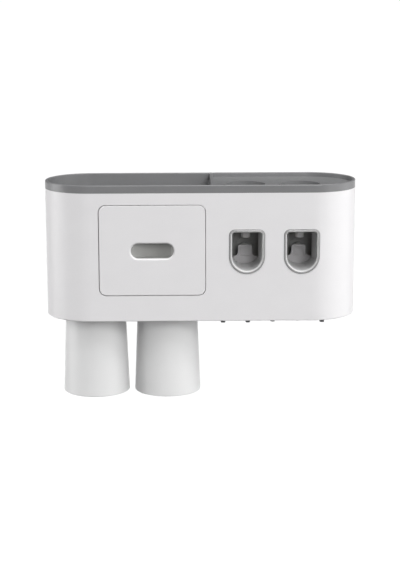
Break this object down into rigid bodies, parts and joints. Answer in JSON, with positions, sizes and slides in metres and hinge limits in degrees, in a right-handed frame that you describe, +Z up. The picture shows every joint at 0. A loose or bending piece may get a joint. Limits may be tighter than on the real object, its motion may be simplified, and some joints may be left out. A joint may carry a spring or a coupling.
{
  "type": "toothpaste dispenser",
  "caption": "Wall-hung bathroom organiser: push-lever toothpaste dispensers, a drawer, a lift-off tray, a toothbrush rack and magnet-held cups.",
  "frame": {"origin": "on the wall plane, at the centre of the wall plate's adhesive pad, level with the casing's middle", "axes": "+Y into the wall, +X to the right as one looks at the front, +Z up"},
  "size_m": [0.32, 0.0958, 0.2234],
  "materials": {
    "shell_white": "satin",
    "white_plastic": "satin",
    "cup_white": "satin",
    "tray_grey": "matte",
    "rack_grey": "matte",
    "scoop_grey": "satin",
    "case_grey": "matte",
    "block_grey": "matte",
    "lever_grey": "matte",
    "clear_ring": "gloss",
    "silicone": "matte",
    "black_rubber": "matte",
    "foam_pad": "matte",
    "magnet": "satin",
    "steel": "satin",
    "grey_plastic": "satin"
  },
  "bodies": {
    "wall_mount": {"wall_plate": "white_plastic", "adhesive_pad": "foam_pad"},
    "housing": {"main_shell": "shell_white", "back_cover": "white_plastic", "back_cover_screws": "steel", "under_plate": "white_plastic", "under_plate_screws": "steel", "seat_magnets": "magnet", "seat_magnet_caps": "grey_plastic", "toothbrush_rack": "rack_grey", "rack_screws": "steel", "drawer_guide": "white_plastic", "guide_screws": "steel", "left_window_ring": "clear_ring", "left_pump_case": "case_grey", "left_case_back": "case_grey", "left_case_screws": "steel", "left_pump_block": "block_grey", "left_inlet_collar": "silicone", "left_inlet_valve": "silicone", "left_nozzle": "silicone", "left_gland": "block_grey", "left_lever_pin": "steel", "left_return_spring": "steel", "right_window_ring": "clear_ring", "right_pump_case": "case_grey", "right_case_back": "case_grey", "right_case_screws": "steel", "right_pump_block": "block_grey", "right_inlet_collar": "silicone", "right_inlet_valve": "silicone", "right_nozzle": "silicone", "right_gland": "block_grey", "right_lever_pin": "steel", "right_return_spring": "steel"},
    "drawer": {"drawer_box": "white_plastic", "drawer_face": "shell_white", "finger_cup": "scoop_grey", "face_screws": "steel"},
    "tray": {"top_tray": "tray_grey"},
    "left_cup_body": {"left_cup": "cup_white", "left_cup_magnet": "magnet", "left_cup_cap": "white_plastic"},
    "left_lever_body": {"left_lever": "lever_grey"},
    "left_piston_body": {"left_piston": "block_grey", "left_piston_seal": "black_rubber"},
    "right_cup_body": {"right_cup": "cup_white", "right_cup_magnet": "magnet", "right_cup_cap": "white_plastic"},
    "right_lever_body": {"right_lever": "lever_grey"},
    "right_piston_body": {"right_piston": "block_grey", "right_piston_seal": "black_rubber"}
  },
  "joints": [
    {"name": "housing_hang", "type": "slide", "parent": "wall_mount", "child": "housing", "axis": [0, 0, 1], "range_m": [0, 0.0125]},
    {"name": "drawer_slide", "type": "slide", "parent": "housing", "child": "drawer", "axis": [0, -1, 0], "range_m": [0, 0.062]},
    {"name": "tray_lift", "type": "slide", "parent": "housing", "child": "tray", "axis": [0, 0, 1], "range_m": [0, 0.03]},
    {"name": "left_cup_pull", "type": "slide", "parent": "housing", "child": "left_cup_body", "axis": [0, 0, -1], "range_m": [0, 0.03]},
    {"name": "right_cup_pull", "type": "slide", "parent": "housing", "child": "right_cup_body", "axis": [0, 0, -1], "range_m": [0, 0.03]},
    {"name": "left_lever_push", "type": "hinge", "parent": "housing", "child": "left_lever_body", "pos_m": [0.0464, -0.0488, -0.02245], "axis": [-1, 0, 0], "range_deg": [0, 20], "stiffness_Nm_per_rad": 0.1, "springref_deg": -11.46},
    {"name": "left_piston_stroke", "type": "slide", "parent": "housing", "child": "left_piston_body", "axis": [0, 1, 0], "range_m": [0, 0.0068], "deforming": ["left_return_spring"]},
    {"name": "right_lever_push", "type": "hinge", "parent": "housing", "child": "right_lever_body", "pos_m": [0.1021, -0.0488, -0.02245], "axis": [-1, 0, 0], "range_deg": [0, 20], "stiffness_Nm_per_rad": 0.1, "springref_deg": -11.46},
    {"name": "right_piston_stroke", "type": "slide", "parent": "housing", "child": "right_piston_body", "axis": [0, 1, 0], "range_m": [0, 0.0068], "deforming": ["right_return_spring"]}
  ],
  "couplings": [
    {"joint": "left_piston_stroke", "follows": "left_lever_push", "m_per_rad": 0.019337},
    {"joint": "right_piston_stroke", "follows": "right_lever_push", "m_per_rad": 0.019337}
  ]
}
